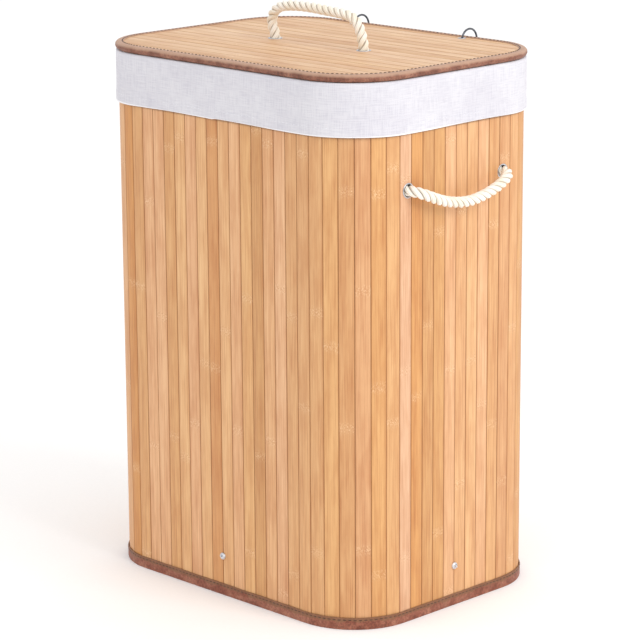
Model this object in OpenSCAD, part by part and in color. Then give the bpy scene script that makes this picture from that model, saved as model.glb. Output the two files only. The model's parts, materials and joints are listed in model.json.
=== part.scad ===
// Laundry hamper: a rectangular basket of upright bamboo slats with round corners,
// a cloth liner folded over its rim, and a slatted lid hung on two loose rings.
// Millimetres, +Z up. The origin is on the floor, under the centre of the basket.

/* [Basket] */
// Outside width of the slat wall, along X
basket_w = 400; // [340:5:520]
// Outside depth of the slat wall, along Y
basket_d = 300; // [250:5:400]
// Outside radius of the upright corners
corner_r = 72; // [60:1:90]
// Height of the slats' top edge above the floor
wall_top = 572; // [450:2:700]
// Number of slats round the basket, a multiple of four
slat_count = 76; // [64:4:100]
// Thickness of a bamboo slat
slat_t = 2.2; // [1.6:0.1:3]
// Dark gap between two slats
slat_gap = 0.5; // [0.4:0.1:1.2]
// Thickness of the cloth that the slats are glued to
cloth_t = 0.8; // [0.5:0.1:1.2]

/* [Base] */
// Thickness of the base board
base_t = 12; // [9:1:18]
// Height of the base screws above the floor
screw_z = 44; // [30:1:60]
// Shank diameter of a base screw
screw_d = 3.5; // [3:0.5:5]
// Length of a base screw's shank under its head
screw_len = 25; // [16:1:30]
// Head diameter of a base screw
screw_head_d = 8; // [6:0.5:10]
// Head height of a base screw
screw_head_h = 2.4; // [1.8:0.1:3]

/* [Bindings] */
// Thickness of the leather-look binding
binding_t = 1.2; // [0.8:0.1:1.6]
// Height of the binding round the bottom edge
bottom_binding_h = 13; // [10:1:24]
// Height of the hidden binding round the rim
rim_binding_h = 22; // [18:1:28]
// Wire diameter of the hoop in the rim
hoop_d = 2; // [1.6:0.2:2.4]

/* [Liner] */
// Thickness of the liner cloth
liner_t = 0.9; // [0.6:0.1:1.2]
// Height of the cuff that hangs outside the rim
cuff_h = 55; // [40:1:80]

/* [Lid] */
// How far the lid stands out past the slat wall on every side
lid_overhang = 3; // [2.5:0.1:8]
// Thickness of the lid at its rounded edge
lid_t = 8; // [7:0.5:12]
// Number of slats across the lid
lid_slat_count = 18; // [14:1:24]
// Thickness of the lid's stiffening board
lid_board_t = 3; // [2.5:0.1:4]
// Width of the binding on the lid's top
lid_binding_w = 9; // [7:0.5:12]
// Distance between the two hinge rings
ring_spread = 164; // [120:2:200]
// Radius of a hinge ring, to the middle of its wire
ring_r = 12; // [12:0.5:14]
// Wire diameter of a hinge ring
ring_wire_d = 2.2; // [1.8:0.1:2.4]
// Bore of the small eyelets that the rings run through
ring_bore = 5; // [4.8:0.1:5.4]
// How wide the flange of a small eyelet is, outside its bore
ring_flange_w = 2; // [1.6:0.1:2.2]

/* [Rope handles] */
// Diameter of the twisted rope
rope_d = 11.5; // [9:0.5:12]
// Bore of the large eyelets that the ropes run through
rope_bore = 13; // [12.5:0.1:14.5]
// How wide the flange of a large eyelet is, outside its bore
rope_flange_w = 1.5; // [1.4:0.1:3]
// Distance between the ends of the lid's handle
lid_handle_span = 134; // [110:2:150]
// Distance between the ends of a side handle
side_handle_span = 144; // [120:2:150]
// Height of the side handles' eyelets above the floor
side_handle_z = 462; // [380:2:500]
// Diameter of the knot at each rope end
knot_d = 28; // [23:1:34]
// Length of that knot
knot_len = 24; // [18:1:30]

/* [Hidden] */
$fn = 72;
slack = 0.1;             // clearance between pieces that are glued or sewn together
rest_gap = 0.4;          // gap under the closed lid
cut = 1;                 // how far a cut runs past the faces that it opens
board_gap = 0.3;         // gap between the base board and the wall
dent_gap = 1.5;          // gap between a knot and the bag that it dents
rope_sides = 10;

// Outline of the slat wall, walked from the middle of the front towards +X
flat_w = basket_w - 2 * corner_r;
flat_d = basket_d - 2 * corner_r;
quarter = PI * corner_r / 2;
mark_1 = flat_w / 2;
mark_2 = mark_1 + quarter;
mark_3 = mark_2 + flat_d;
mark_4 = mark_3 + quarter;
mark_5 = mark_4 + flat_w;
mark_6 = mark_5 + quarter;
mark_7 = mark_6 + flat_d;
mark_8 = mark_7 + quarter;
perimeter = mark_8 + flat_w / 2;
pitch = perimeter / slat_count;
quarter_slats = slat_count / 4;
front_half = floor((flat_w / 2) / pitch);
side_half = floor((flat_d / 2) / pitch);

// Layers of the wall, each as a distance in from the slats' outer face
cloth_in = slat_t + 0.02;
wall_in = cloth_in + cloth_t;
// Flat slats stand this much inside the round of a corner
sag = corner_r - sqrt(corner_r * corner_r - pitch * pitch / 4) + slack;
binding_in = wall_in + sag;
liner_in = binding_in + binding_t + slack;
board_in = binding_in + board_gap;
cuff_out = binding_t + 2 * slack;

// Heights
slat_bottom = binding_t + slack;
hoop_z = wall_top + slack + hoop_d / 2;
rim_top = wall_top + hoop_d + 2 * slack + binding_t;
cuff_top = rim_top + slack + liner_t;
cuff_bottom = cuff_top - cuff_h;
lid_bottom = cuff_top + rest_gap;
lid_mid = lid_bottom + lid_t / 2;
lid_top = lid_bottom + lid_t;
base_bottom = screw_z - base_t / 2;
base_top = screw_z + base_t / 2;
bag_floor = base_top + slack;
bag_top = rim_top - rim_binding_h;

// Lid outline and its layers, from below
lid_w = basket_w + 2 * lid_overhang;
lid_d = basket_d + 2 * lid_overhang;
lid_r = corner_r + lid_overhang;
lid_skin = 1;            // thickness of the lid's binding
lid_core_in = 2;         // the boards stop this far inside the lid's edge
lid_slat_t = lid_t - 2 * lid_skin - lid_board_t - cloth_t;
lining_z = lid_bottom + lid_skin;
board_z = lining_z + cloth_t;
lid_slat_z = board_z + lid_board_t;

// Hinge axis: the middle of the lid's round back edge, which is the rings' centre too
hinge_y = basket_d / 2 + lid_overhang - lid_t / 2;
lid_hole_y = hinge_y - ring_r;
wall_hole_z = lid_mid - ring_r;

// Eyelets
eyelet_t = 0.4;
flange_t = 0.5;
ring_flange_d = ring_bore + 2 * ring_flange_w;
rope_flange_d = rope_bore + 2 * rope_flange_w;
ring_hole_d = ring_bore + 2 * eyelet_t + slack;
rope_hole_d = rope_bore + 2 * eyelet_t + slack;
screw_hole_d = screw_d + 4 * slack;
rim_out = cuff_out + liner_t;
rim_depth = rim_out + liner_in + liner_t;
wall_depth = wall_in + sag;

// Rope routes. Side handle: [out from the wall, share of the half span, height]
side_route = [
    [-9, 1, 0], [-2, 1, 0], [4, 0.99, 0], [9, 0.96, -1], [13, 0.89, -3], [15, 0.79, -6],
    [16, 0.65, -10], [16, 0.48, -14], [16, 0.3, -17], [16, 0.1, -19], [16, -0.1, -19],
    [16, -0.3, -17], [16, -0.48, -14], [16, -0.65, -10], [15, -0.79, -6], [13, -0.89, -3],
    [9, -0.96, -1], [4, -0.99, 0], [-2, -1, 0], [-9, -1, 0]
];
// Lid handle: [past the half span, height over the lid, across the lid]; first the left leg
lid_left = [[0, -11, 0], [0, -4, 0], [0, 2, 0], [2, 8, 0], [4, 15, -1], [3, 22, -1], [-2, 29, -2],
    [-11, 34.5, -2], [-23, 36.8, -2]];
lid_middle = [[-27, 37.9, -1], [-9, 37.5, 0], [9, 36.4, 0], [27, 35.3, 1]];
lid_right = [[-23, 33, 2], [-12, 27.5, 2], [-7, 21, 1], [-4, 14, 1], [-1, 7, 0], [0, 2, 0],
    [0, -4, 0], [0, -11, 0]];
half_span = lid_handle_span / 2;
lid_route = concat(
    [for (p = lid_left) [-half_span - p.x, p.z, lid_top + p.y]],
    [for (p = lid_middle) [p.x, p.z, lid_top + p.y]],
    [for (p = lid_right) [half_span + p.x, p.z, lid_top + p.y]]
);
// A knot starts where its rope ends
side_knot_in = -side_route[0].x;
lid_knot_z = lid_top + lid_left[0].y;

// Colours
bamboo = "#d6a262";
leather = "#9a5b48";
linen = "#e6e6f0";
rope = "#efe6d2";
nickel = "#b8bac0";
dark_steel = "#4a4c50";

// A point of the wall's outline at the walked length s, moved in by the given distance
function on_corner(x, y, start, run, inset) =
    let (a = start + run / corner_r * 180 / PI, r = corner_r - inset)
    [x + r * cos(a), y + r * sin(a)];
function wall_point(s, inset) =
    let (x = basket_w / 2 - corner_r, y = basket_d / 2 - corner_r)
    s < mark_1 ? [s, inset - basket_d / 2]
    : s < mark_2 ? on_corner(x, -y, -90, s - mark_1, inset)
    : s < mark_3 ? [basket_w / 2 - inset, s - mark_2 - y]
    : s < mark_4 ? on_corner(x, y, 0, s - mark_3, inset)
    : s < mark_5 ? [x - (s - mark_4), basket_d / 2 - inset]
    : s < mark_6 ? on_corner(-x, y, 90, s - mark_5, inset)
    : s < mark_7 ? [inset - basket_w / 2, y - (s - mark_6)]
    : s < mark_8 ? on_corner(-x, -y, 180, s - mark_7, inset)
    : [s - perimeter, inset - basket_d / 2];
function wrap(s) = s < 0 ? s + perimeter : s >= perimeter ? s - perimeter : s;

// Tube swept along a route; ref is a direction that the route never runs along
function unit(v) = v / norm(v);
function along(pts, i) = unit(pts[min(i + 1, len(pts) - 1)] - pts[max(i - 1, 0)]);
function ring_points(pts, i, ref, r) =
    let (t = along(pts, i), u = unit(cross(ref, t)), v = cross(t, u))
    [for (k = [0 : rope_sides - 1])
        pts[i] + r * (cos(360 * k / rope_sides) * u + sin(360 * k / rope_sides) * v)];
module swept_rope(pts, ref) {
    n = len(pts);
    m = rope_sides;
    points = [for (i = [0 : n - 1]) each ring_points(pts, i, ref, rope_d / 2)];
    walls = [for (i = [0 : n - 2]) for (k = [0 : m - 1])
        [i * m + k, (i + 1) * m + k, (i + 1) * m + (k + 1) % m, i * m + (k + 1) % m]];
    first = [for (k = [0 : m - 1]) k];
    last = [for (k = [m - 1 : -1 : 0]) (n - 1) * m + k];
    polyhedron(points = points, faces = concat([first], walls, [last]), convexity = 6);
}

// Rounded plate, outlined by its outer size and corner radius
module round_plate(w, d, r, h) {
    linear_extrude(h) {
        square([w - 2 * r, d], center = true);
        square([w, d - 2 * r], center = true);
        for (x = [-1, 1], y = [-1, 1])
            translate([x * (w / 2 - r), y * (d / 2 - r)]) circle(r);
    }
}

// The same plate, set in from the slat wall
module wall_plate(inset, h) {
    round_plate(basket_w - 2 * inset, basket_d - 2 * inset, corner_r - inset, h);
}

// Sweeps a profile round a rounded rectangle. The profile's x is the distance in from the
// outline, and its y is the height
module rim_sweep(w, d, r) {
    for (k = [0 : 3]) {
        straight = k % 2 == 0 ? w - 2 * r : d - 2 * r;
        out = k % 2 == 0 ? d / 2 : w / 2;
        rotate([0, 0, 90 * k]) {
            translate([-straight / 2, -out, 0]) rotate([90, 0, 90])
                linear_extrude(straight) children();
            translate([straight / 2, r - out, 0]) rotate([0, 0, -90])
                rotate_extrude(angle = 90) translate([r, 0]) mirror([1, 0]) children();
        }
    }
}

// Cutters for what runs through the walls and the lid
module side_holes(d) {
    for (x = [-1, 1], y = [-1, 1])
        translate([x * (basket_w / 2 + cut), y * side_handle_span / 2, side_handle_z])
            rotate([0, -90 * x, 0]) cylinder(d = d, h = wall_depth + 2 * cut);
}
module wall_ring_holes(d) {
    for (x = [-1, 1])
        translate([x * ring_spread / 2, basket_d / 2 + rim_out + cut, wall_hole_z])
            rotate([90, 0, 0]) cylinder(d = d, h = rim_depth + 2 * cut);
}
module screw_places() {
    for (k = [0 : 3])
        rotate([0, 0, 90 * k])
            translate([0, -(k % 2 == 0 ? basket_d : basket_w) / 2, screw_z])
                rotate([-90, 0, 0]) children();
}
module screw_holes() {
    screw_places() translate([0, 0, -cut])
        cylinder(d = screw_hole_d, h = wall_depth + 2 * cut);
}
module lid_ring_holes(d) {
    for (x = [-1, 1])
        translate([x * ring_spread / 2, lid_hole_y, lid_bottom - cut])
            cylinder(d = d, h = lid_t + 2 * cut);
}
module lid_rope_holes(d) {
    for (x = [-1, 1])
        translate([x * half_span, 0, lid_bottom - cut])
            cylinder(d = d, h = lid_t + 2 * cut);
}

// Eyelet along +Z: a barrel with a flange at each end, gripping the given depth
module eyelet(bore, flange_d, depth) {
    barrel = bore / 2 + eyelet_t;
    rotate_extrude()
        polygon([
            [bore / 2, -flange_t], [flange_d / 2, -flange_t], [flange_d / 2, 0], [barrel, 0],
            [barrel, depth], [flange_d / 2, depth], [flange_d / 2, depth + flange_t],
            [bore / 2, depth + flange_t]
        ]);
}

// Knot along +Z: a barrel with rounded shoulders, flat where the rope enters
module knot() {
    shoulder = knot_d / 4;
    rotate_extrude() {
        translate([0, shoulder]) square([knot_d / 2, knot_len - 2 * shoulder]);
        square([knot_d / 2 - shoulder, knot_len]);
        for (z = [shoulder, knot_len - shoulder])
            translate([knot_d / 2 - shoulder, z]) circle(shoulder, $fn = 32);
    }
}

// One flat slat between two neighbouring joints of the wall
module wall_slat(i) {
    a = wall_point(wrap(i * pitch), slat_t / 2);
    b = wall_point(wrap((i + 1) * pitch), slat_t / 2);
    dir = b - a;
    translate([a.x, a.y, slat_bottom]) rotate([0, 0, atan2(dir.y, dir.x)])
        translate([slat_gap / 2, -slat_t / 2, 0])
            cube([norm(dir) - slat_gap, slat_t, wall_top - slat_bottom]);
}
module slat_run(first, last) {
    color(bamboo) difference() {
        for (i = [first : last - 1]) wall_slat(i);
        wall_ring_holes(ring_hole_d);
        side_holes(rope_hole_d);
        screw_holes();
    }
}
module front_slats() slat_run(-front_half, front_half);
module right_slats() slat_run(quarter_slats - side_half, quarter_slats + side_half);
module back_slats() slat_run(2 * quarter_slats - front_half, 2 * quarter_slats + front_half);
module left_slats() slat_run(3 * quarter_slats - side_half, 3 * quarter_slats + side_half);
module front_right_corner_slats() slat_run(front_half, quarter_slats - side_half);
module back_right_corner_slats() slat_run(quarter_slats + side_half, 2 * quarter_slats - front_half);
module back_left_corner_slats() slat_run(2 * quarter_slats + front_half, 3 * quarter_slats - side_half);
module front_left_corner_slats() slat_run(3 * quarter_slats + side_half, 4 * quarter_slats - front_half);

// Cloth on the slats' inner face, folded at every joint
module wall_cloth() {
    color(linen) difference() {
        translate([0, 0, slat_bottom]) linear_extrude(wall_top - slat_bottom) difference() {
            polygon([for (i = [0 : slat_count - 1]) wall_point(i * pitch, cloth_in)]);
            polygon([for (i = [0 : slat_count - 1]) wall_point(i * pitch, wall_in)]);
        }
        wall_ring_holes(ring_hole_d);
        side_holes(rope_hole_d);
        screw_holes();
    }
}

// Wire hoop that keeps the rim in shape, lying on the slats' top edge
module rim_hoop() {
    color(dark_steel) rim_sweep(basket_w, basket_d, corner_r)
        translate([(slat_t + cloth_t) / 2, hoop_z]) circle(d = hoop_d, $fn = 24);
}

// Leather-look bindings, folded over the rim and under the bottom edge
module rim_binding() {
    color(leather) difference() {
        rim_sweep(basket_w, basket_d, corner_r) {
            translate([-binding_t - slack, rim_top - rim_binding_h])
                square([binding_t, rim_binding_h]);
            translate([-binding_t - slack, rim_top - binding_t])
                square([binding_in + 2 * binding_t + slack, binding_t]);
            translate([binding_in, rim_top - rim_binding_h])
                square([binding_t, rim_binding_h]);
        }
        wall_ring_holes(ring_hole_d);
    }
}
module bottom_binding() {
    color(leather) rim_sweep(basket_w, basket_d, corner_r) {
        translate([-binding_t - slack, 0]) square([binding_t, bottom_binding_h]);
        translate([-binding_t - slack, 0]) square([binding_in + 2 * binding_t + slack, binding_t]);
        translate([binding_in, 0]) square([binding_t, bottom_binding_h]);
    }
}

// Base board, screwed in from all four sides
module base_board() {
    color("#c9a877") difference() {
        translate([0, 0, base_bottom]) wall_plate(board_in, base_t);
        screw_places() cylinder(d = screw_d + slack, h = screw_len + cut);
    }
}
module base_screws() {
    recess = [screw_head_d / 2, screw_head_d / 8, screw_head_h * 0.8];
    color(nickel) screw_places() {
        cylinder(d = screw_d, h = screw_len);
        translate([0, 0, -screw_head_h]) difference() {
            cylinder(d = screw_head_d, h = screw_head_h);
            for (a = [0, 90]) rotate([0, 0, a]) cube(recess, center = true);
        }
    }
}

// Liner: a bag that stands on the base board, and the cuff folded out over the rim.
// The bag is dented where the side handles' knots press on it
module knot_dents(grow) {
    for (x = [-1, 1], y = [-1, 1])
        translate([x * basket_w / 2, y * side_handle_span / 2, side_handle_z])
            rotate([0, -90 * x, 0])
                cylinder(d = knot_d + 2 * (dent_gap + grow), h = side_knot_in + knot_len + dent_gap + grow);
}
module bag_space(inset, floor_z, grow) {
    difference() {
        translate([0, 0, floor_z]) wall_plate(inset, cuff_top - floor_z + cut * grow);
        knot_dents(grow * liner_t);
    }
}
module liner_bag() {
    color(linen) difference() {
        bag_space(liner_in, bag_floor, 0);
        bag_space(liner_in + liner_t, bag_floor + liner_t, 1);
        translate([0, 0, bag_top]) wall_plate(0, cuff_top);
    }
}
module liner_cuff() {
    color(linen) difference() {
        rim_sweep(basket_w, basket_d, corner_r) {
            translate([-cuff_out - liner_t, cuff_bottom]) square([liner_t, cuff_h]);
            translate([-cuff_out - liner_t, cuff_top - liner_t])
                square([cuff_out + liner_in + 2 * liner_t, liner_t]);
            translate([liner_in, bag_top]) square([liner_t, cuff_top - bag_top]);
        }
        wall_ring_holes(ring_hole_d);
    }
}

// Eyelets and ropes of the wall
module wall_ring_eyelets() {
    color(nickel) for (x = [-1, 1])
        translate([x * ring_spread / 2, basket_d / 2 + rim_out, wall_hole_z])
            rotate([90, 0, 0]) eyelet(ring_bore, ring_flange_d, rim_depth);
}
module side_handle_eyelets() {
    color(nickel) for (x = [-1, 1], y = [-1, 1])
        translate([x * basket_w / 2, y * side_handle_span / 2, side_handle_z])
            rotate([0, -90 * x, 0]) eyelet(rope_bore, rope_flange_d, wall_depth);
}
module side_handle_rope(side) {
    route = [for (p = side_route)
        [side * (basket_w / 2 + p.x), side * p.y * side_handle_span / 2, side_handle_z + p.z]];
    color(rope) swept_rope(route, [0, 0, 1]);
}
module right_handle_rope() side_handle_rope(1);
module left_handle_rope() side_handle_rope(-1);
module side_handle_knots(side) {
    color(rope) for (y = [-1, 1])
        translate([side * (basket_w / 2 - side_knot_in), y * side_handle_span / 2, side_handle_z])
            rotate([0, -90 * side, 0]) knot();
}
module right_handle_knots() side_handle_knots(1);
module left_handle_knots() side_handle_knots(-1);

// Lid: slats on a stiffening board, a cloth lining below, and a rounded binding
module lid_layer(inset, z, h) {
    translate([0, 0, z]) round_plate(lid_w - 2 * inset, lid_d - 2 * inset, lid_r - inset, h);
}
module lid_slats() {
    inside = lid_d - 2 * lid_core_in;
    lid_pitch = inside / lid_slat_count;
    color(bamboo) difference() {
        intersection() {
            lid_layer(lid_core_in, lid_slat_z, lid_slat_t - slack);
            for (i = [0 : lid_slat_count - 1])
                translate([-lid_w / 2, i * lid_pitch - inside / 2 + slat_gap / 2, lid_slat_z])
                    cube([lid_w, lid_pitch - slat_gap, lid_slat_t]);
        }
        lid_ring_holes(ring_hole_d);
        lid_rope_holes(rope_hole_d);
    }
}
module lid_board() {
    color("#a98a63") difference() {
        lid_layer(lid_core_in, board_z, lid_board_t);
        lid_ring_holes(ring_hole_d);
        lid_rope_holes(rope_hole_d);
    }
}
module lid_lining() {
    color(linen) difference() {
        lid_layer(lid_core_in, lining_z, cloth_t);
        lid_ring_holes(ring_hole_d);
        lid_rope_holes(rope_hole_d);
    }
}
module lid_binding() {
    color(leather) rim_sweep(lid_w, lid_d, lid_r)
        translate([0, lid_bottom]) difference() {
            union() {
                translate([lid_t / 2, lid_t / 2]) circle(d = lid_t);
                translate([lid_t / 2, 0]) square([lid_binding_w - lid_t / 2, lid_t]);
            }
            translate([lid_core_in - slack, lid_skin])
                square([lid_binding_w + cut, lid_t - 2 * lid_skin]);
        }
}
module lid_ring_eyelets() {
    color(nickel) for (x = [-1, 1])
        translate([x * ring_spread / 2, lid_hole_y, lid_bottom + lid_skin])
            eyelet(ring_bore, ring_flange_d, lid_t - 2 * lid_skin);
}
module lid_handle_eyelets() {
    color(nickel) for (x = [-1, 1])
        translate([x * half_span, 0, lid_bottom + lid_skin])
            eyelet(rope_bore, rope_flange_d, lid_t - 2 * lid_skin);
}
module lid_handle_rope() {
    color(rope) swept_rope(lid_route, [0, 1, 0]);
}
module lid_handle_knots() {
    color(rope) for (x = [-1, 1])
        translate([x * half_span, 0, lid_knot_z]) rotate([180, 0, 0]) knot();
}

// Loose hinge rings, centred on the hinge axis
module hinge_ring(side) {
    color(dark_steel) translate([side * ring_spread / 2, hinge_y, lid_mid]) rotate([0, 90, 0])
        rotate_extrude() translate([ring_r, 0]) circle(d = ring_wire_d, $fn = 24);
}
module left_ring() hinge_ring(-1);
module right_ring() hinge_ring(1);

front_slats();
right_slats();
back_slats();
left_slats();
front_right_corner_slats();
back_right_corner_slats();
back_left_corner_slats();
front_left_corner_slats();
wall_cloth();
rim_hoop();
rim_binding();
bottom_binding();
base_board();
base_screws();
liner_bag();
liner_cuff();
wall_ring_eyelets();
side_handle_eyelets();
right_handle_rope();
left_handle_rope();
right_handle_knots();
left_handle_knots();
lid_slats();
lid_board();
lid_lining();
lid_binding();
lid_ring_eyelets();
lid_handle_eyelets();
lid_handle_rope();
lid_handle_knots();
left_ring();
right_ring();
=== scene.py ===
import json
import math
from functools import partial

import bmesh
import bpy
import numpy as np
from mathutils import Matrix, Vector


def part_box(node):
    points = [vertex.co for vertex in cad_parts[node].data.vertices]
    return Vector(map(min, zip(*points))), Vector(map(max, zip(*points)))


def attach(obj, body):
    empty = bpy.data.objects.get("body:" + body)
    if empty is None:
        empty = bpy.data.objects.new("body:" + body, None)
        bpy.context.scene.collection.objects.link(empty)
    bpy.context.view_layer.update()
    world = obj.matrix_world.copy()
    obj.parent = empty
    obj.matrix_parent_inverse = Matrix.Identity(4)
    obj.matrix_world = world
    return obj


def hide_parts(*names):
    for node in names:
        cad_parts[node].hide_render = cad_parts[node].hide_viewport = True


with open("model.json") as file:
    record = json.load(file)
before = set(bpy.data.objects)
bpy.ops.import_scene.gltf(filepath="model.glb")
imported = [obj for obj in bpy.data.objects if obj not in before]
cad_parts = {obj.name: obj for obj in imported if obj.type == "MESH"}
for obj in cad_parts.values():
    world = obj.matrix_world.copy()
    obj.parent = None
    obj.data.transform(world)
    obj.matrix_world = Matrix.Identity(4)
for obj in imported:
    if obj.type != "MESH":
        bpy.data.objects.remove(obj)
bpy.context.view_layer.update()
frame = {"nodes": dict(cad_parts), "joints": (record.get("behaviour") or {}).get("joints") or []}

# ---- Driving sizes, in metres. Everything else comes from the frame ----
MM = 0.001
CORNER_R = 72 * MM            # outside radius of the basket's upright corners
SLAT_COUNT = 76               # bamboo slats round the basket
SLAT_GAP = 0.45 * MM          # open joint between two slats
SLAT_EASE = 0.5 * MM          # how far a slat's long edges are rounded
LID_SLATS = 18                # slats across the lid
LID_TAPE_W = 9 * MM           # width of the tape on the lid's top
TAPE_T = 1.2 * MM             # thickness of the leather-look tape
CLOTH_T = 0.9 * MM            # thickness of the liner's cloth
SCREW_HEAD_D = 8 * MM
SCREW_SHANK_D = 3.5 * MM
SCREW_LEN = 25 * MM
ROPE_D = 11.5 * MM            # laid rope, over its three strands
ROPE_LAY = 25 * MM            # length of one full turn of a strand
YARN_TWIST = 9 * MM           # length of one full turn of a strand's yarns
YARNS = 8                     # yarns in relief round a strand
RING_WIRE_D = 2.2 * MM
RING_BORE = 5 * MM
ROPE_BORE = 13 * MM
FLANGE_T = 0.5 * MM           # thickness of an eyelet's flange
CLEAR = 0.5 * MM              # room between a hole and the eyelet in it
ROPE_HOLE_D = ROPE_BORE + 2 * CLEAR
RING_HOLE_D = RING_BORE + 2 * CLEAR
STITCH_PITCH = 5.5 * MM
SEED = 11
STRAND_SHARE = 4.31           # rope diameter over a strand's radius, for three strands that touch
CAMERA_AT = (2.119, -2.105, 1.021)
CAMERA_TURN = (45.2, 13.94, -0.34)      # yaw to the left, pitch down and roll, in degrees
LENS = 157.9                  # in millimetres, on a sensor 36 wide
SKY = 1.04                    # strength of the white sky
KEY_AT = (2.7, 0.1, 2.1)
KEY_SIZE = 1.5
KEY_POWER = 34                # watts
LOOK_AT = (0, 0, 0.3)         # what the lamp is turned to
FLAT = 12                     # faces of a slat that meet at more than this stay crisp, in degrees

slats_low, slats_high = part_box("front_slats")
_, right_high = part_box("right_slats")
_, scrim_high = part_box("wall_cloth")
lid_low, lid_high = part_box("lid_binding")
lid_slat_low, lid_slat_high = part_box("lid_slats")
cuff_low, cuff_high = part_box("liner_cuff")
bag_low, bag_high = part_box("liner_bag")
_, skirt_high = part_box("bottom_binding")
lining_low, lining_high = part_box("lid_lining")
ring_low, ring_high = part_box("right_ring")
screw_low, screw_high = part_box("base_screws")
side_eyelet_low, side_eyelet_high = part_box("side_handle_eyelets")
lid_eyelet_low, lid_eyelet_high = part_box("lid_handle_eyelets")
ring_eyelet_low, ring_eyelet_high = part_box("lid_ring_eyelets")
wall_ring_low, wall_ring_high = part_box("wall_ring_eyelets")
knot_low, knot_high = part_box("right_handle_knots")
lid_knot_low, lid_knot_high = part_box("lid_handle_knots")
hinge = Vector(next(j for j in frame["joints"] if j["name"] == "lid_hinge")["pos_m"])

HALF_W = right_high.x
HALF_D = -slats_low.y
SLAT_T = slats_high.y - slats_low.y
SCRIM_IN = HALF_W - scrim_high.x
LID_HALF_W = lid_high.x
LID_HALF_D = lid_high.y
LID_R = CORNER_R + LID_HALF_W - HALF_W
RING_X = (ring_low.x + ring_high.x) / 2
RING_R = (ring_high.z - ring_low.z - RING_WIRE_D) / 2
LID_HOLE_Y = hinge.y - RING_R
WALL_HOLE_Z = hinge.z - RING_R
SIDE_Z = (side_eyelet_low.z + side_eyelet_high.z) / 2
ROPE_FLANGE_D = side_eyelet_high.z - side_eyelet_low.z
RING_FLANGE_D = ring_eyelet_high.y - ring_eyelet_low.y
SIDE_Y = side_eyelet_high.y - ROPE_FLANGE_D / 2
LID_HANDLE_X = lid_eyelet_high.x - ROPE_FLANGE_D / 2
SCREW_Z = (screw_low.z + screw_high.z) / 2
KNOT_D = knot_high.z - knot_low.z
KNOT_LEN = lid_knot_high.z - lid_knot_low.z
SIDE_HOLES = [((x * HALF_W, y * SIDE_Y, SIDE_Z), (x, 0, 0)) for x in (-1, 1) for y in (-1, 1)]
WALL_RING_HOLES = [((x * RING_X, wall_ring_high.y - FLANGE_T, WALL_HOLE_Z), (0, 1, 0)) for x in (-1, 1)]
LID_ROPE_HOLES = [((x * LID_HANDLE_X, 0, lid_eyelet_high.z - FLANGE_T), (0, 0, 1)) for x in (-1, 1)]
LID_RING_HOLES = [((x * RING_X, LID_HOLE_Y, ring_eyelet_high.z - FLANGE_T), (0, 0, 1)) for x in (-1, 1)]
SCREW_HOLES = [((0, -HALF_D, SCREW_Z), (0, -1, 0)), ((HALF_W, 0, SCREW_Z), (1, 0, 0)),
               ((0, HALF_D, SCREW_Z), (0, 1, 0)), ((-HALF_W, 0, SCREW_Z), (-1, 0, 0))]


# ---- Camera, light and floor ----
def set_camera():
    """Long portrait lens from the front right, a little above the lid."""
    yaw, pitch, roll = (math.radians(a) for a in CAMERA_TURN)
    level = Vector((math.cos(yaw), math.sin(yaw), 0))
    forward = Vector((-math.sin(yaw) * math.cos(pitch), math.cos(yaw) * math.cos(pitch),
                      -math.sin(pitch)))
    upright = level.cross(forward)
    right = level * math.cos(roll) + upright * math.sin(roll)
    up = upright * math.cos(roll) - level * math.sin(roll)
    data = bpy.data.cameras.new("camera")
    data.sensor_width = 36
    data.lens = LENS
    data.clip_end = 60
    camera = bpy.data.objects.new("camera", data)
    turn = Matrix((right, up, -forward)).transposed().to_4x4()
    camera.matrix_world = Matrix.Translation(CAMERA_AT) @ turn
    bpy.context.scene.collection.objects.link(camera)
    bpy.context.scene.camera = camera


def soft_box(name, place, size, power, tint):
    """A square lamp that looks at the middle of the hamper."""
    data = bpy.data.lights.new(name, "AREA")
    data.size = size
    data.energy = power
    data.color = tint
    lamp = bpy.data.objects.new(name, data)
    aim = Vector(LOOK_AT) - Vector(place)
    lamp.matrix_world = Matrix.Translation(place) @ aim.to_track_quat("-Z", "Y").to_matrix().to_4x4()
    bpy.context.scene.collection.objects.link(lamp)


def set_studio():
    """White sky all round, one soft key from the right, and a white floor."""
    world = bpy.data.worlds.new("studio")
    world.use_nodes = True
    sky = world.node_tree.nodes["Background"]
    sky.inputs["Color"].default_value = colour("#ffffff")
    sky.inputs["Strength"].default_value = SKY
    bpy.context.scene.world = world
    bpy.context.scene.view_settings.view_transform = "Standard"
    soft_box("key", KEY_AT, KEY_SIZE, KEY_POWER, (1.0, 0.99, 0.98))
    reach = 12.0
    floor = build("floor", [(-reach, -reach, 0), (reach, -reach, 0), (reach, reach, 0), (-reach, reach, 0)],
                  [(0, 1, 2, 3)], paper_sweep("paper_sweep"), outward=False)


# ---- Makers: colours, nodes and meshes ----
def colour(code):
    """An sRGB hex value as linear RGBA."""
    parts = [int(code[i:i + 2], 16) / 255 for i in (1, 3, 5)]
    return tuple(c / 12.92 if c <= 0.04045 else ((c + 0.055) / 1.055) ** 2.4 for c in parts) + (1.0,)


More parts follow.
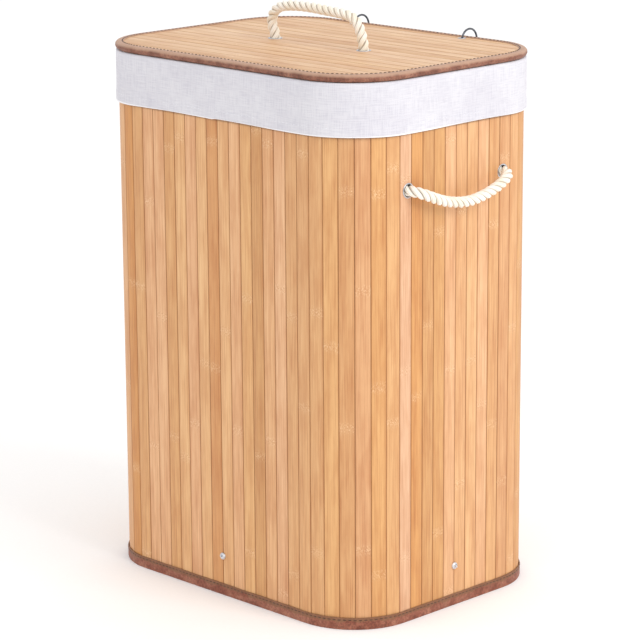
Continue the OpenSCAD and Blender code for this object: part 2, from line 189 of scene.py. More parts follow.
def add(tree, kind, *given, stops=(), **settings):
    """Adds a node. Its inputs in use are filled in order, or by name from a dict: a value is
    set, and a node or socket is linked. Stops are a colour ramp's."""
    node = tree.nodes.new(kind if "Node" in kind else "ShaderNode" + kind)
    for name, value in settings.items():
        setattr(node, name, value)
    live = [socket for socket in node.inputs if socket.enabled]
    filled = []
    for place, value in enumerate(given):
        if isinstance(value, dict):
            filled += [(node.inputs[name], item) for name, item in value.items()]
        elif value is not None:
            filled.append((live[place], value))
    for socket, value in filled:
        if isinstance(value, bpy.types.Node):
            value = next(s for s in value.outputs if s.enabled)
        if isinstance(value, bpy.types.NodeSocket):
            tree.links.new(value, socket)
        else:
            socket.default_value = colour(value) if str(value).startswith("#") else value
    if stops:
        elements = node.color_ramp.elements
        while len(elements) < len(stops):
            elements.new(0.5)
        for element, (place, value) in zip(elements, stops):
            element.position = place
            element.color = colour(value) if isinstance(value, str) else (value, value, value, 1)
    return node


def new_material(name, roughness, metallic=0.0, **settings):
    """A material, what adds its nodes, and its Principled shader with the settings that are even."""
    material = bpy.data.materials.new(name)
    material.use_nodes = True
    tree = material.node_tree
    shader = tree.nodes["Principled BSDF"]
    shader.inputs["Roughness"].default_value = roughness
    shader.inputs["Metallic"].default_value = metallic
    for key, value in settings.items():
        shader.inputs[key.replace("_", " ")].default_value = value
    return material, partial(add, tree), shader


def new_object(name, mesh):
    made = bpy.data.objects.new(name, mesh)
    bpy.context.scene.collection.objects.link(made)
    return made


def face_out(mesh):
    """Turns every face of a closed mesh outwards."""
    work = bmesh.new()
    work.from_mesh(mesh)
    bmesh.ops.recalc_face_normals(work, faces=work.faces)
    work.to_mesh(mesh)
    work.free()


def build(name, points, faces, material=None, uvs=None, sharp=40, outward=True):
    """A mesh object from points and faces, with a UV map in metres where one is given."""
    mesh = bpy.data.meshes.new(name)
    mesh.from_pydata([tuple(p) for p in points], [], faces)
    if uvs is not None:
        layer = mesh.uv_layers.new(name="UVMap")
        layer.data.foreach_set("uv", np.array([c for face in uvs for uv in face for c in uv], np.float32))
    if outward:
        face_out(mesh)
    mesh.shade_smooth()
    mesh.set_sharp_from_angle(angle=math.radians(sharp))
    if material:
        mesh.materials.append(material)
    return new_object(name, mesh)


def rounded(points, radius, steps=4):
    """A closed outline with each corner rounded off."""
    outline = []
    for i, point in enumerate(points):
        p = Vector(point)
        back = Vector(points[i - 1]) - p
        ahead = Vector(points[(i + 1) % len(points)]) - p
        reach = min(radius, 0.45 * back.length, 0.45 * ahead.length)
        back.normalize()
        ahead.normalize()
        for k in range(steps + 1):
            t = k / steps
            outline.append(tuple(p + back * reach * (1 - t) ** 2 + ahead * reach * t ** 2))
    return outline


def rim_line(half_w, half_d, r, step=6 * MM, arc_steps=16):
    """A rounded rectangle seen from above, anticlockwise from the middle of the front:
    its points, their outward normals, and the length walked to each and back to the first."""
    ends = [(np.array((0.0, -half_d)), np.array((0.0, -1.0)))]
    for x, y, start in ((half_w - r, r - half_d, -90), (half_w - r, half_d - r, 0),
                        (r - half_w, half_d - r, 90), (r - half_w, r - half_d, 180)):
        for k in range(arc_steps + 1):
            a = math.radians(start + 90 * k / arc_steps)
            normal = np.array((math.cos(a), math.sin(a)))
            ends.append((np.array((x, y)) + r * normal, normal))
    places, normals = [], []
    for i, (p, normal) in enumerate(ends):
        q = ends[(i + 1) % len(ends)][0]
        count = max(1, int(np.linalg.norm(q - p) / step))
        places += [p + (q - p) * k / count for k in range(count)]
        normals += [normal] * count
    places, normals = np.array(places), np.array(normals)
    gaps = np.linalg.norm(np.roll(places, -1, 0) - places, axis=1)
    return places, normals, np.concatenate([[0], np.cumsum(gaps)])


def along_rim(line, lengths):
    """Points and outward normals of a rim line at the walked lengths."""
    places, normals, walked = line
    found = []
    for values in (places, normals):
        closed = np.vstack([values, values[:1]])
        found.append(np.stack([np.interp(lengths, walked, closed[:, c]) for c in (0, 1)], -1))
    return found[0], found[1] / np.linalg.norm(found[1], axis=1)[:, None]


def grid(n, m, closed=True, first=0):
    """Quads between n rings of m points each. A closed grid joins the last ring to the first."""
    return [(first + i * m + j, first + (i + 1) % n * m + j, first + (i + 1) % n * m + (j + 1) % m,
             first + i * m + (j + 1) % m) for i in range(n if closed else n - 1) for j in range(m)]


def grid_uvs(u, v):
    """The corners' UVs for a grid's quads, from lengths along it and lengths round a ring."""
    return [((u[i], v[j]), (u[i + 1], v[j]), (u[i + 1], v[j + 1]), (u[i], v[j + 1]))
            for i in range(len(u) - 1) for j in range(len(v) - 1)]


def open_grid(n, m, along, around):
    """The quads between n rings, first to last, and their UVs: length round a ring, then along."""
    faces = [quad[:1] + quad[:0:-1] for quad in grid(n, m, closed=False)]
    uvs = [[(v, u) for u, v in quad[:1] + quad[:0:-1]] for quad in grid_uvs(along, around)]
    return faces, uvs


def sweep(name, line, profile, material, wave=None, sharp=40):
    """Carries a closed profile of (out, height) points round a rim line."""
    places, normals, walked = line
    n, m = len(places), len(profile)
    profile = np.array(profile, float)
    steps = np.linalg.norm(np.roll(profile, -1, 0) - profile, axis=1)
    across = np.concatenate([[0], np.cumsum(steps)])
    points = np.zeros((n, m, 3))
    for j in range(m):
        push, lift = wave(places, walked[:-1], profile[j]) if wave else (0, 0)
        points[:, j, :2] = places + normals * (np.zeros(n) + profile[j, 0] + push)[:, None]
        points[:, j, 2] = profile[j, 1] + lift
    return build(name, points.reshape(-1, 3), grid(n, m), material, grid_uvs(walked, across), sharp)


def lathe(name, profile, sides, sharp=40):
    """Turns a closed profile of (radius, height) points about Z."""
    angles = [2 * math.pi * i / sides for i in range(sides)]
    points = [(r * math.cos(a), r * math.sin(a), z) for a in angles for r, z in profile]
    return build(name, points, grid(sides, len(profile)), sharp=sharp)


def settle(piece):
    """Turns an object with live modifiers into a plain mesh of the same name."""
    bpy.context.view_layer.update()
    ready = piece.evaluated_get(bpy.context.evaluated_depsgraph_get())
    mesh = bpy.data.meshes.new_from_object(ready)
    name = piece.name
    bpy.data.objects.remove(piece)
    made = new_object(name, mesh)
    made.name = name
    return made


def carve(piece, tool, operation="DIFFERENCE"):
    """Cuts a piece with a tool object, which is used up."""
    cut = piece.modifiers.new("cut", "BOOLEAN")
    cut.operation = operation
    cut.solver = "EXACT"
    cut.object = tool
    piece = settle(piece)
    bpy.data.objects.remove(tool)
    return piece


def cut_away(piece, work):
    """Cuts a piece with a tool drawn in a bmesh."""
    mesh = bpy.data.meshes.new("tool")
    work.to_mesh(mesh)
    work.free()
    return carve(piece, new_object("tool", mesh))


def pierce(piece, holes, diameter, depth=14 * MM, sharp=30):
    """Drills round holes, each given by the middle of its mouth and its direction."""
    work = bmesh.new()
    for middle, direction in holes:
        turn = Vector(direction).to_track_quat("Z", "X").to_matrix().to_4x4()
        bmesh.ops.create_cone(work, cap_ends=True, segments=24, radius1=diameter / 2,
                              radius2=diameter / 2, depth=2 * depth,
                              matrix=Matrix.Translation(middle) @ turn)
    piece = cut_away(piece, work)
    piece.data.set_sharp_from_angle(angle=math.radians(sharp))
    return piece


def hand_over(piece, body, slot, *nodes):
    """Hands a finished piece to the frame."""
    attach(piece, body)
    if nodes:
        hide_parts(*nodes)
    return piece


def waves(lengths, seed, scale):
    """Smooth random waves along a run, between about -1 and 1."""
    random = np.random.default_rng(seed)
    total = np.zeros(np.shape(lengths))
    for k in range(5):
        turn = 2 * math.pi * lengths / (scale * (1 + 0.7 * k))
        total += np.sin(turn + random.uniform(0, 2 * math.pi)) / (1 + 0.5 * k)
    return total / 2.4


# ---- Geometry Nodes: runs of slats, and fixings that repeat ----
def new_tree(name, inputs):
    """A geometry tree with named inputs: what adds its nodes, and the sockets that give them."""
    tree = bpy.data.node_groups.new(name, "GeometryNodeTree")
    tree.interface.new_socket("Geometry", in_out="INPUT", socket_type="NodeSocketGeometry")
    for label, kind in inputs.items():
        tree.interface.new_socket(label, in_out="INPUT", socket_type="NodeSocket" + kind)
    tree.interface.new_socket("Geometry", in_out="OUTPUT", socket_type="NodeSocketGeometry")
    return partial(add, tree), tree.nodes.new("NodeGroupInput").outputs


def close_tree(put, geometry, finish):
    """Ends a tree with real meshes and their finish."""
    solid = put("GeometryNodeRealizeInstances", geometry)
    painted = put("GeometryNodeSetMaterial", solid, {"Material": finish})
    return put("NodeGroupOutput", painted).id_data


def slat_run_tree():
    """Lays a slat on every edge of a guide, its width along the edge. Each slat stands a
    little proud or shy and turns a little, and carries a tone and a shift of its own."""
    put, given = new_tree("slat_run", {"Slat": "Object", "Proud": "Float", "Turn": "Float", "Seed": "Int",
                                       "Face": "Vector", "Finish": "Material"})
    ends = put("GeometryNodeInputMeshEdgeVertices")
    run = put("VectorMath", ends.outputs["Position 2"], ends.outputs["Position 1"], operation="SUBTRACT")
    kept = put("GeometryNodeStoreNamedAttribute", given["Geometry"], {"Name": "run", "Value": run},
               data_type="FLOAT_VECTOR", domain="EDGE")
    points = put("GeometryNodeMeshToPoints", kept, mode="EDGES")
    heading = put("GeometryNodeInputNamedAttribute", {"Name": "run"}, data_type="FLOAT_VECTOR")
    aim = put("FunctionNodeAlignRotationToVector", {"Vector": heading}, axis="X", pivot_axis="Z")
    blank = put("GeometryNodeObjectInfo", {"Object": given["Slat"], "As Instance": True})
    laid = put("GeometryNodeInstanceOnPoints", points,
               {"Instance": blank.outputs["Geometry"], "Rotation": aim})
    seeds = [put("Math", given["Seed"], float(k), operation="ADD") for k in range(4)]
    shy = put("Math", given["Proud"], -1.0, operation="MULTIPLY")
    proud = put("FunctionNodeRandomValue", shy, given["Proud"], {"Seed": seeds[0]})
    push = put("VectorMath", given["Face"], {"Scale": proud}, operation="SCALE")
    moved = put("GeometryNodeTranslateInstances", laid, {"Translation": push, "Local Space": True})
    least = put("Math", given["Turn"], -1.0, operation="MULTIPLY")
    turn = put("FunctionNodeRandomValue", least, given["Turn"], {"Seed": seeds[1]})
    about = put("VectorMath", (0.0, 0.0, 1.0), {"Scale": turn}, operation="SCALE")
    geometry = put("GeometryNodeRotateInstances", moved, {"Rotation": about, "Local Space": True})
    for name, seed in (("tone", seeds[2]), ("shift", seeds[3])):
        value = put("FunctionNodeRandomValue", {"Seed": seed})
        geometry = put("GeometryNodeStoreNamedAttribute", geometry, {"Name": name, "Value": value},
                       data_type="FLOAT", domain="INSTANCE")
    # kept on the faces, so that a hole cut later leaves them alone
    geometry = put("GeometryNodeRealizeInstances", geometry)
    for name in ("tone", "shift"):
        value = put("GeometryNodeInputNamedAttribute", {"Name": name}, data_type="FLOAT")
        geometry = put("GeometryNodeStoreNamedAttribute", geometry, {"Name": name, "Value": value},
                       data_type="FLOAT", domain="FACE")
    return close_tree(put, geometry, given["Finish"])


def fixings_tree():
    """Sets one piece on every point of a guide, its Z axis along the point's aim."""
    put, given = new_tree("fixings", {"Piece": "Object", "Spin": "Float", "Seed": "Int",
                                      "Finish": "Material"})
    points = put("GeometryNodeMeshToPoints", given["Geometry"], mode="VERTICES")
    heading = put("GeometryNodeInputNamedAttribute", {"Name": "aim"}, data_type="FLOAT_VECTOR")
    aim = put("FunctionNodeAlignRotationToVector", {"Vector": heading}, axis="Z")
    blank = put("GeometryNodeObjectInfo", {"Object": given["Piece"], "As Instance": True})
    laid = put("GeometryNodeInstanceOnPoints", points,
               {"Instance": blank.outputs["Geometry"], "Rotation": aim})
    least = put("Math", given["Spin"], -1.0, operation="MULTIPLY")
    spin = put("FunctionNodeRandomValue", least, given["Spin"], {"Seed": given["Seed"]})
    about = put("VectorMath", (0.0, 0.0, 1.0), {"Scale": spin}, operation="SCALE")
    turned = put("GeometryNodeRotateInstances", laid, {"Rotation": about, "Local Space": True})
    return close_tree(put, turned, given["Finish"])


def run_tree(guide, tree, **values):
    """Puts a tree on a guide, sets its inputs by identifier and makes the result plain."""
    modifier = guide.modifiers.new("make", "NODES")
    modifier.node_group = tree
    for item in tree.interface.items_tree:
        if item.in_out == "INPUT" and item.name in values:
            modifier[item.identifier] = values[item.name]
    return settle(guide)


def place_fixings(name, blank, places, finish, spin=0.0, sharp=40):
    """Copies of a blank, one at each (place, direction). The blank is used up."""
    mesh = bpy.data.meshes.new(name)
    mesh.from_pydata([tuple(p) for p, _ in places], [], [])
    aims = mesh.attributes.new("aim", "FLOAT_VECTOR", "POINT")
    aims.data.foreach_set("vector", [float(c) for _, d in places for c in d])
    made = run_tree(new_object(name, mesh), trees["fixings"], Piece=blank, Spin=spin, Seed=SEED,
                    Finish=finishes[finish])
    made.data.set_sharp_from_angle(angle=math.radians(sharp))
    bpy.data.objects.remove(blank)
    return made


# ---- Finishes ----
def streaks(put, x, y, layer, across, along, detail=3.0):
    """Noise whose features have the given lengths across and along."""
    x = put("Math", x, 1 / across, operation="MULTIPLY")
    y = put("Math", y, 1 / along, operation="MULTIPLY")
    place = put("CombineXYZ", x, y, layer)
    return put("TexNoise", place, {"Scale": 1.0, "Detail": detail, "Roughness": 0.58})


def spots(put, size, detail=3.0):
    """Noise of one size in every direction, fixed to the piece."""
    place = put("TexCoord").outputs["Object"]
    return put("TexNoise", place, {"Scale": 1 / size, "Detail": detail})


def surface(put, shader, base, height, distance, strength, rough=None):
    """Joins a colour, a height and, where it varies, a roughness to the shader."""
    links = shader.id_data.links
    links.new(base.outputs[2 if base.bl_idname == "ShaderNodeMix" else 0], shader.inputs["Base Color"])
    made = put("Bump", {"Height": height, "Distance": distance, "Strength": strength})
    links.new(made.outputs[0], shader.inputs["Normal"])
    if rough:
        links.new(rough.outputs[0], shader.inputs["Roughness"])


def darken(put, base, amount, pattern, stops):
    """Darkens a colour where a pattern does, through a ramp."""
    ramp = put("ValToRGB", pattern, stops=stops)
    return put("Mix", amount, base, ramp, data_type="RGBA", blend_type="MULTIPLY")


def bamboo(name, width, tones, hem_shade_at):
    """Split bamboo, planed and clear lacquered: fine straight fibres, each strip its own shade
    of straw, tan or pink, and faint speckled knuckles where the stem had its joints."""
    material, put, shader = new_material(name, 0.5, Specular_IOR_Level=0.35, Coat_Weight=0.1,
                                         Coat_Roughness=0.4)
    across, along = put("SeparateXYZ", put("UVMap", uv_map="UVMap")).outputs[:2]
    tone = put("Attribute", attribute_name="tone").outputs["Fac"]
    shift = put("Attribute", attribute_name="shift").outputs["Fac"]
    layer = put("Math", shift, 97.0, operation="MULTIPLY")
    run = put("Math", shift, 3.0, along, operation="MULTIPLY_ADD")
    fibres = streaks(put, across, run, layer, 1.1 * MM, 70 * MM, 4.0)
    bands = streaks(put, across, run, layer, 5 * MM, 150 * MM)
    clouds = streaks(put, across, run, layer, 14 * MM, 60 * MM)
    base = put("ValToRGB", tone, stops=tones)
    base = darken(put, base, 0.24, bands, [(0.3, "#c89560"), (0.65, "#ffffff")])
    base = darken(put, base, 0.3, clouds, [(0.34, "#cf9f72"), (0.6, "#ffffff")])
    base = darken(put, base, 0.32, fibres, [(0.34, "#b3743f"), (0.56, "#ffffff")])
    # knuckles, 200 to 360 mm apart and out of step from strip to strip
    spacing = put("Math", shift, 0.16, 0.2, operation="MULTIPLY_ADD")
    phase = put("Math", put("Math", run, spacing, operation="DIVIDE"), operation="FRACT")
    gap = put("Math", put("Math", phase, 0.5, operation="SUBTRACT"), operation="ABSOLUTE")
    gap = put("Math", gap, spacing, operation="MULTIPLY")
    ragged = streaks(put, across, run, layer, 2 * MM, 12 * MM)
    gap = put("Math", ragged, 8 * MM, gap, operation="MULTIPLY_ADD")
    knuckle = put("MapRange", gap, 4 * MM, 13 * MM, 1.0, 0.0, interpolation_type="SMOOTHSTEP")
    flecks = streaks(put, across, run, layer, 0.7 * MM, 1.7 * MM)
    pale = put("Math", knuckle, put("ValToRGB", flecks, stops=[(0.5, 0.0), (0.66, 1.0)]),
               operation="MULTIPLY")
    dark = put("Math", knuckle, put("ValToRGB", flecks, stops=[(0.34, 1.0), (0.46, 0.0)]),
               operation="MULTIPLY")
    base = put("Mix", put("Math", pale, 0.6, operation="MULTIPLY"), base, "#f8d8b0", data_type="RGBA")
    base = put("Mix", put("Math", dark, 0.55, operation="MULTIPLY"), base, "#b2733f", data_type="RGBA")
    # painted shade: the long edges are a little darker, standing in for shade in the joints between slats
    edge = put("Math", put("Math", across, operation="ABSOLUTE"), 2 / width, operation="MULTIPLY")
    edge = put("Math", fibres, 0.12, edge, operation="MULTIPLY_ADD")
    rim = put("ValToRGB", edge, stops=[(0.96, 0.0), (1.08, 1.0)])
    base = put("Mix", put("Math", rim, 0.42, operation="MULTIPLY"), base, "#a2693a", data_type="RGBA")
    # painted shade: a thin dark line on the slats just under the cuff's hem, standing in for the hem's
    # shadow
    height = put("SeparateXYZ", put("TexCoord").outputs["Object"]).outputs[2]
    hem_shade = put("MapRange", height, hem_shade_at - 2.6 * MM, hem_shade_at - 0.6 * MM, 0.0, 0.5)
    base = put("Mix", hem_shade, base, "#5a3c24", data_type="RGBA")
    rough = put("MapRange", fibres, 0.0, 1.0, 0.42, 0.62)
    surface(put, shader, base, fibres, 0.12 * MM, 0.7, rough)
    return material


def woven(name, light, shade, thread, contrast, sheen=0.2, pale_to=None):
    """Linen-look cloth in plain weave: crossing threads of uneven thickness, matt with a little
    sheen. The threads are drawn about twice as coarse as real ones, so that they show. Below
    the given height a folded hem edge catches the light."""
    material, put, shader = new_material(name, 0.9, Specular_IOR_Level=0.15, Sheen_Weight=sheen,
                                         Sheen_Roughness=0.5)
    u, v = put("SeparateXYZ", put("UVMap", uv_map="UVMap")).outputs[:2]
    warp = streaks(put, u, v, 0.0, thread, thread * 18)
    weft = streaks(put, v, u, 5.0, thread, thread * 18)
    slubs = put("Math", warp, weft, operation="ADD")
    turns = [put("Math", put("Math", along, 2 * math.pi / thread, operation="MULTIPLY"),
                 operation="SINE") for along in (u, v)]
    weave = put("Math", *turns, operation="MULTIPLY")
    half = put("Math", slubs, 0.5, operation="MULTIPLY")
    base = put("Mix", contrast, light, put("ValToRGB", half, stops=[(0.4, shade), (0.55, light)]),
               data_type="RGBA")
    cloud = streaks(put, u, v, 21.0, 60 * MM, 45 * MM)
    base = darken(put, base, 0.2, cloud, [(0.35, "#d4d0dc"), (0.6, "#ffffff")])
    if pale_to:
        level = put("SeparateXYZ", put("TexCoord").outputs["Object"]).outputs[2]
        edge = put("MapRange", level, pale_to - 0.6 * MM, pale_to, 0.8, 0.0)
        base = put("Mix", edge, base, "#f4f2f4", data_type="RGBA")
    height = put("Math", weave, 0.2, slubs, operation="MULTIPLY_ADD")
    surface(put, shader, base, height, 0.3 * MM, 0.6)
    return material


def leather_look(name, tones, olive_from=None, lit_top_from=None):
    """Coated tape with a pressed pebble grain, rubbed lighter in patches. Above the first
    height, where it is sewn, it turns a dull olive brown. Above the second height its top
    is painted pale: painted light from above, with a painted sheen."""
    grain = 1.1 * MM
    material, put, shader = new_material(name, 0.5, Specular_IOR_Level=0.4)
    place = put("TexCoord").outputs["Object"]
    cells = put("TexVoronoi", place, {"Scale": 1 / grain}, feature="DISTANCE_TO_EDGE")
    patches = spots(put, 12 * MM, 5.0)
    speckle = spots(put, 2.2 * MM)
    base = put("ValToRGB", patches, stops=tones)
    base = darken(put, base, 0.45, speckle, [(0.38, "#7d5244"), (0.58, "#ffffff")])
    pits = put("ValToRGB", cells, stops=[(0.0, 0.35), (0.2, 1.0)])
    base = put("Mix", 0.4, base, pits, data_type="RGBA", blend_type="MULTIPLY")
    # a dull olive brown band along the top edge, where the seam runs
    if olive_from:
        height = put("SeparateXYZ", place).outputs[2]
        ragged = put("Math", patches, 9 * MM, height, operation="MULTIPLY_ADD")
        olive_band = put("MapRange", ragged, olive_from + 4 * MM, olive_from + 5.5 * MM)
        base = put("Mix", put("Math", olive_band, 0.8, operation="MULTIPLY"), base, "#80593c", data_type="RGBA")
    # painted light: the top is painted paler, standing in for light from above and a sheen
    if lit_top_from:
        height = put("SeparateXYZ", place).outputs[2]
        soft = put("Math", patches, 2 * MM, height, operation="MULTIPLY_ADD")
        painted_top_light = put("MapRange", soft, lit_top_from, lit_top_from + 2.4 * MM, 0.0, 0.85)
        base = put("Mix", painted_top_light, base, "#bd9880", data_type="RGBA")
    rough = put("MapRange", patches, 0.0, 1.0, 0.62, 0.4)
    relief = put("Math", speckle, 0.4, pits, operation="MULTIPLY_ADD")
    surface(put, shader, base, relief, 0.16 * MM, 0.7, rough)
    return material


def laid_cotton(name):
    """Undyed cotton rope: soft yarns that run the other way to the strands, warm white, with
    painted shade in the grooves between yarns and where the strands meet in the lay."""
    material, put, shader = new_material(name, 0.9, Specular_IOR_Level=0.15, Sheen_Weight=0.35,
                                         Sheen_Roughness=0.6)
    u, v = put("SeparateXYZ", put("UVMap", uv_map="UVMap")).outputs[:2]
    turn = put("Math", v, 2 * math.pi / YARN_TWIST, operation="MULTIPLY")
    turn = put("Math", u, 2 * math.pi * YARNS, turn, operation="MULTIPLY_ADD")
    yarn = put("Math", put("Math", turn, operation="COSINE"), 0.5, 0.5, operation="MULTIPLY_ADD")
    fuzz = spots(put, 0.9 * MM, 4.0)
    base = put("ValToRGB", spots(put, 18 * MM), stops=[(0.35, "#f3ead8"), (0.65, "#fcf8f0")])
    # painted shade: darker in the grooves between the yarns
    base = darken(put, base, 0.3, yarn, [(0.0, "#d9c8a8"), (0.4, "#ffffff")])
    # painted shade: each strand is darker towards its sides, where it meets the next strand
    facing = put("Math", put("Math", u, 2 * math.pi, operation="MULTIPLY"), operation="COSINE")
    base = darken(put, base, 0.6, facing, [(0.0, "#8f7a58"), (0.45, "#ffffff")])
    relief = put("Math", fuzz, 0.6, yarn, operation="MULTIPLY_ADD")
    surface(put, shader, base, relief, 0.25 * MM, 0.8)
    return material


def worn_metal(name, light, dark, roughness):
    """Plated or drawn metal: even, with hairline scratches and dull patches."""
    material, put, shader = new_material(name, roughness, 1.0)
    place = put("TexCoord").outputs["Object"]
    squeezed = put("Mapping", place, {"Scale": (1.0, 1.0, 12.0)})
    hair = put("TexNoise", squeezed, {"Scale": 1 / (2 * MM), "Detail": 3.0})
    base = put("ValToRGB", spots(put, 3 * MM, 5.0), stops=[(0.3, dark), (0.65, light)])
    rough = put("MapRange", hair, 0.0, 1.0, roughness - 0.1, roughness + 0.15)
    surface(put, shader, base, hair, 0.04 * MM, 0.4, rough)
    return material


def pressed_board(name, tones, chip):
    """Raw pressed board: matt wood fibres with scattered darker chips."""
    material, put, shader = new_material(name, 0.85, Specular_IOR_Level=0.2)
    fibre = spots(put, chip, 6.0)
    base = put("ValToRGB", fibre, stops=tones)
    base = darken(put, base, 0.4, spots(put, 40 * MM), [(0.3, "#b79a72"), (0.7, "#ffffff")])
    surface(put, shader, base, fibre, 0.15 * MM, 0.6)
    return material


def twine(name, light, dark):
    """Sewing thread of two plies, slightly glossy."""
    material, put, shader = new_material(name, 0.6, Specular_IOR_Level=0.3, Sheen_Weight=0.2)
    plies = spots(put, 0.8 * MM)
    surface(put, shader, put("ValToRGB", plies, stops=[(0.35, dark), (0.6, light)]), plies, 0.1 * MM, 0.6)
    return material


def paper_sweep(name):
    """Matt white paper with a barely visible tooth."""
    material, put, shader = new_material(name, 0.95, Specular_IOR_Level=0.05)
    tooth = spots(put, 4 * MM)
    surface(put, shader, put("ValToRGB", tooth, stops=[(0.3, "#fdfdfd"), (0.7, "#ffffff")]), tooth,
            0.02 * MM, 0.2)
    return material


# ---- Rope handles and their knots ----
def smooth_route(points, step):
    """An even walk along a smooth curve through the route's own points, and its length."""
    given = np.array(points, float)
    padded = np.vstack([2 * given[0] - given[1], given, 2 * given[-1] - given[-2]])
    dense = []
    for i in range(1, len(padded) - 2):
        p0, p1, p2, p3 = padded[i - 1:i + 3]
        for t in np.linspace(0, 1, 24, endpoint=False):
            dense.append(0.5 * (2 * p1 + (p2 - p0) * t + (2 * p0 - 5 * p1 + 4 * p2 - p3) * t * t
                                + (3 * p1 - p0 - 3 * p2 + p3) * t ** 3))
    dense = np.array(dense + [given[-1]])
    walked = np.concatenate([[0], np.cumsum(np.linalg.norm(np.diff(dense, axis=0), axis=1))])
    even = np.linspace(0, walked[-1], int(round(walked[-1] / step)) + 1)
    return np.array([np.interp(even, walked, dense[:, k]) for k in range(3)]).T, walked[-1]


def headings(line, closed):
    """Directions of travel at each point of a line."""
    ahead = np.roll(line, -1, 0) - np.roll(line, 1, 0) if closed else np.gradient(line, axis=0)
    return ahead / np.linalg.norm(ahead, axis=1)[:, None]


def laid_rope(name, line, diameter, lay, sides=40, closed=False):
    """Three strands laid round each other along a line, each with its yarns in relief."""
    strand_r = diameter / STRAND_SHARE
    spread = diameter / 2 - strand_r
    ahead = headings(line, closed)
    side = np.cross(ahead[0], (0.3, 0.5, 0.81))
    across = [side / np.linalg.norm(side)]
    for t in ahead[1:]:
        side = across[-1] - t * np.dot(across[-1], t)
        across.append(side / np.linalg.norm(side))
    across = np.array(across)
    third = np.cross(ahead, across)
    gaps = np.linalg.norm(np.roll(line, -1, 0) - line, axis=1)
    walked = np.concatenate([[0], np.cumsum(gaps)])
    if closed:
        lay = walked[-1] / max(1, round(walked[-1] / lay))
    n = len(line)
    points, faces, uvs = [], [], []
    ring = np.arange(sides) * 2 * math.pi / sides
    shares = np.arange(sides + 1) / sides
    for strand in range(3):
        turn = 2 * math.pi * walked[:n] / lay + strand * 2 * math.pi / 3
        centre = line + spread * (np.cos(turn)[:, None] * across + np.sin(turn)[:, None] * third)
        heading = headings(centre, closed)
        outward = centre - line
        outward -= heading * np.sum(outward * heading, axis=1)[:, None]
        outward /= np.linalg.norm(outward, axis=1)[:, None]
        level = np.cross(heading, outward)
        first = len(points)
        for i in range(n):
            reach = strand_r * (1 + 0.045 * np.cos(YARNS * ring + 2 * math.pi * walked[i] / YARN_TWIST))
            points += list(centre[i] + (reach * np.cos(ring))[:, None] * outward[i]
                           + (reach * np.sin(ring))[:, None] * level[i])
        faces += grid(n, sides, closed, first)
        uvs += [[(v, u) for u, v in quad] for quad in grid_uvs(walked[:n + closed], shares)]
        if not closed:
            for i in (0, n - 1):
                faces.append(tuple(first + i * sides + j for j in range(sides)))
                uvs.append(tuple((j / sides, walked[i]) for j in range(sides)))
    return build(name, points, faces, finishes["cotton"], uvs, sharp=60)


def stopper_knot(name, tail):
    """A tight overhand knot below its entry at z = 0, with the rope's own end in its middle."""
    reach = (KNOT_D - ROPE_D) / 2
    wound = []
    for t in np.linspace(0, 2 * math.pi, 120, endpoint=False):
        wound.append(((math.sin(t) + 2 * math.sin(2 * t)) * reach / 3,
                      (math.cos(t) - 2 * math.cos(2 * t)) * reach / 3,
                      KNOT_LEN / 2 - math.sin(3 * t) * (KNOT_LEN - ROPE_D) / 2))
    turns = laid_rope(name, np.array(wound), ROPE_D, ROPE_LAY, sides=20, closed=True)
    end, _ = smooth_route([(0, 0, 1 * MM), (0, 0, KNOT_LEN / 2), (0.5 * MM, 0, KNOT_LEN - 1 * MM + tail)],
                          1.5 * MM)
    core = laid_rope("core", end, ROPE_D, ROPE_LAY, sides=20)
    join(turns, core)
    return turns


def join(piece, other):
    """Adds another object's mesh to a piece."""
    work = bmesh.new()
    work.from_mesh(piece.data)
    work.from_mesh(other.data)
    work.to_mesh(piece.data)
    work.free()
    bpy.data.objects.remove(other)


def side_route(side):
    """A side handle: out of one eyelet, down in a shallow bow and back into the other."""
    bow = [(-9, 1, 0), (-2, 1, 0), (4, 0.99, 0), (9, 0.96, -1), (13, 0.89, -3), (15, 0.79, -6),
           (16, 0.65, -10), (16, 0.48, -14), (16, 0.3, -17), (16, 0.1, -19), (16, -0.1, -19),
           (16, -0.3, -17), (16, -0.48, -14), (16, -0.65, -10), (15, -0.79, -6), (13, -0.89, -3),
           (9, -0.96, -1), (4, -0.99, 0), (-2, -1, 0), (-9, -1, 0)]
    return [(side * (HALF_W + x * MM), side * y * SIDE_Y, SIDE_Z + z * MM) for x, y, z in bow]


def lid_route():
    """The lid's handle: up through one eyelet, over in a bow, and down through the other."""
    left = [(0, -11, 0), (0, -4, 0), (0, 2, 0), (2, 8, 0), (4, 15, -1), (3, 22, -1), (-2, 29, -2),
            (-11, 34.5, -2), (-23, 36.8, -2)]
    middle = [(-27, 37.9, -1), (-9, 37.5, 0), (9, 36.4, 0), (27, 35.3, 1)]
    right = [(-23, 33, 2), (-12, 27.5, 2), (-7, 21, 1), (-4, 14, 1), (-1, 7, 0), (0, 2, 0),
             (0, -4, 0), (0, -11, 0)]
    path = [(-LID_HANDLE_X - x * MM, y * MM, lid_high.z + z * MM) for x, z, y in left]
    path += [(x * MM, y * MM, lid_high.z + z * MM) for x, z, y in middle]
    path += [(LID_HANDLE_X + x * MM, y * MM, lid_high.z + z * MM) for x, z, y in right]
    return path


def make_handle(name, route, body, knots, places, tail=0.0):
    """A rope handle and the two stopper knots that hold its ends."""
    pair = place_fixings(name + "_stoppers", stopper_knot("knot_blank", tail), places, "cotton", sharp=60)
    hand_over(pair, body, "cotton_rope", knots)
    line, length = smooth_route(route, 1.2 * MM)
    rope = laid_rope(name + "_cord", line, ROPE_D, ROPE_LAY)
    hand_over(rope, body, "cotton_rope", name + "_rope")


